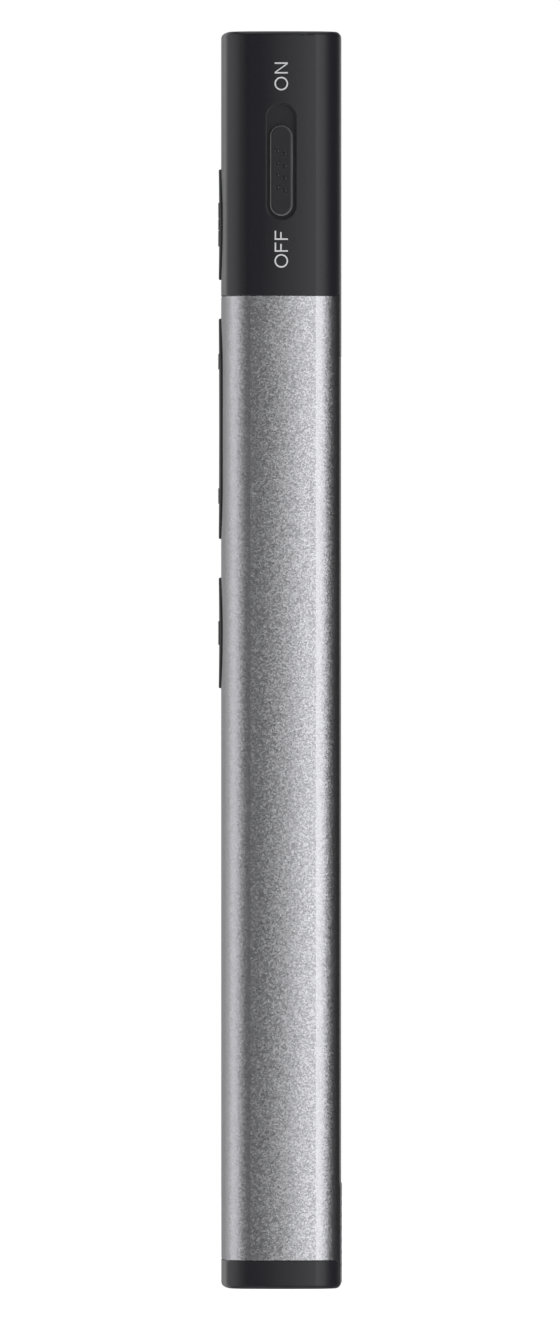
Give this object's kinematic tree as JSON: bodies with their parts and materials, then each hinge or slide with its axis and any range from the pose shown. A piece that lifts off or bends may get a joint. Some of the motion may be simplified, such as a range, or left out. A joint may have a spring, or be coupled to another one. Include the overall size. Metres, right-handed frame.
{
  "type": "handheld presentation remote",
  "caption": "Slim handheld wireless presenter with laser pointer: aluminium body, black end caps, press keys, side power slider and hinged-out battery cover.",
  "frame": {"origin": "middle of the flat tail face", "axes": "+Z from the tail to the laser end, -Y is the front with the keys, +Y the back with the battery cover, +X the side with the power switch"},
  "size_m": [0.0273, 0.0136, 0.138],
  "materials": {
    "anodised_aluminium": "bead-blasted, anodised grey",
    "black_plastic": "fine satin",
    "frame_plastic": "satin",
    "key_rubber": "matt",
    "foam": "soft",
    "black_steel": "black oxide",
    "contact_steel": "nickel plated",
    "plug_steel": "plain",
    "board_laminate": "solder resist",
    "chip_black": "moulded",
    "ceramic": "fired",
    "led_clear": "diffused",
    "clear_lens": "polished",
    "brass_barrel": "turned",
    "bezel_metal": "satin",
    "lead_insulation": "PVC",
    "cell_jacket": "printed film jacket"
  },
  "bodies": {
    "housing": {"body_sleeve": "anodised_aluminium", "head_cap": "black_plastic", "tail_cap": "black_plastic", "tail_screws": "black_steel", "chassis": "frame_plastic", "laser_switch_dome": "contact_steel", "page_up_switch_dome": "contact_steel", "page_down_switch_dome": "contact_steel", "blank_switch_dome": "contact_steel", "power_switch_body": "contact_steel", "circuit_board": "board_laminate", "board_screws": "black_steel", "radio_chip": "chip_black", "crystal": "contact_steel", "boost_coil": "chip_black", "chip_antenna": "ceramic", "board_passives": "ceramic", "status_led": "led_clear", "led_light_pipe": "led_clear", "laser_barrel": "brass_barrel", "laser_lens": "clear_lens", "laser_diode": "brass_barrel", "laser_window": "clear_lens", "laser_bezel": "bezel_metal", "laser_leads": "lead_insulation", "battery_cell_left": "cell_jacket", "battery_cell_right": "cell_jacket", "bridge_contact_plate": "contact_steel", "bridge_contact_spring": "contact_steel", "positive_contact_plate": "contact_steel", "negative_contact_plate": "contact_steel", "negative_contact_spring": "contact_steel", "usb_receiver_head": "black_plastic", "usb_receiver_plug": "plug_steel", "usb_receiver_tongue": "frame_plastic"},
    "power_slider": {"slider_knob": "black_plastic", "slider_clip": "frame_plastic", "power_switch_lever": "frame_plastic"},
    "laser_button": {"laser_key": "key_rubber"},
    "page_button": {"page_rocker": "key_rubber"},
    "blank_button": {"blank_key": "key_rubber"},
    "back_cover": {"battery_cover": "black_plastic", "cover_foam_pad": "foam"}
  },
  "joints": [
    {"name": "power_slide", "type": "slide", "parent": "housing", "child": "power_slider", "axis": [0, 0, 1], "range_m": [0, 0.00198]},
    {"name": "laser_key_press", "type": "slide", "parent": "housing", "child": "laser_button", "axis": [0, 1, 0], "range_m": [0, 0.0003], "stiffness_N_per_m": 2000},
    {"name": "page_rocker_tilt", "type": "hinge", "parent": "housing", "child": "page_button", "pos_m": [0, -0.00451, 0.0945], "axis": [1, 0, 0], "range_deg": [-1.4, 1.4], "stiffness_Nm_per_rad": 0.3},
    {"name": "blank_key_press", "type": "slide", "parent": "housing", "child": "blank_button", "axis": [0, 1, 0], "range_m": [0, 0.0003], "stiffness_N_per_m": 2000},
    {"name": "cover_swing", "type": "hinge", "parent": "housing", "child": "back_cover", "pos_m": [0, 0.0066, 0.10245], "axis": [1, 0, 0], "range_deg": [0, 40]}
  ]
}
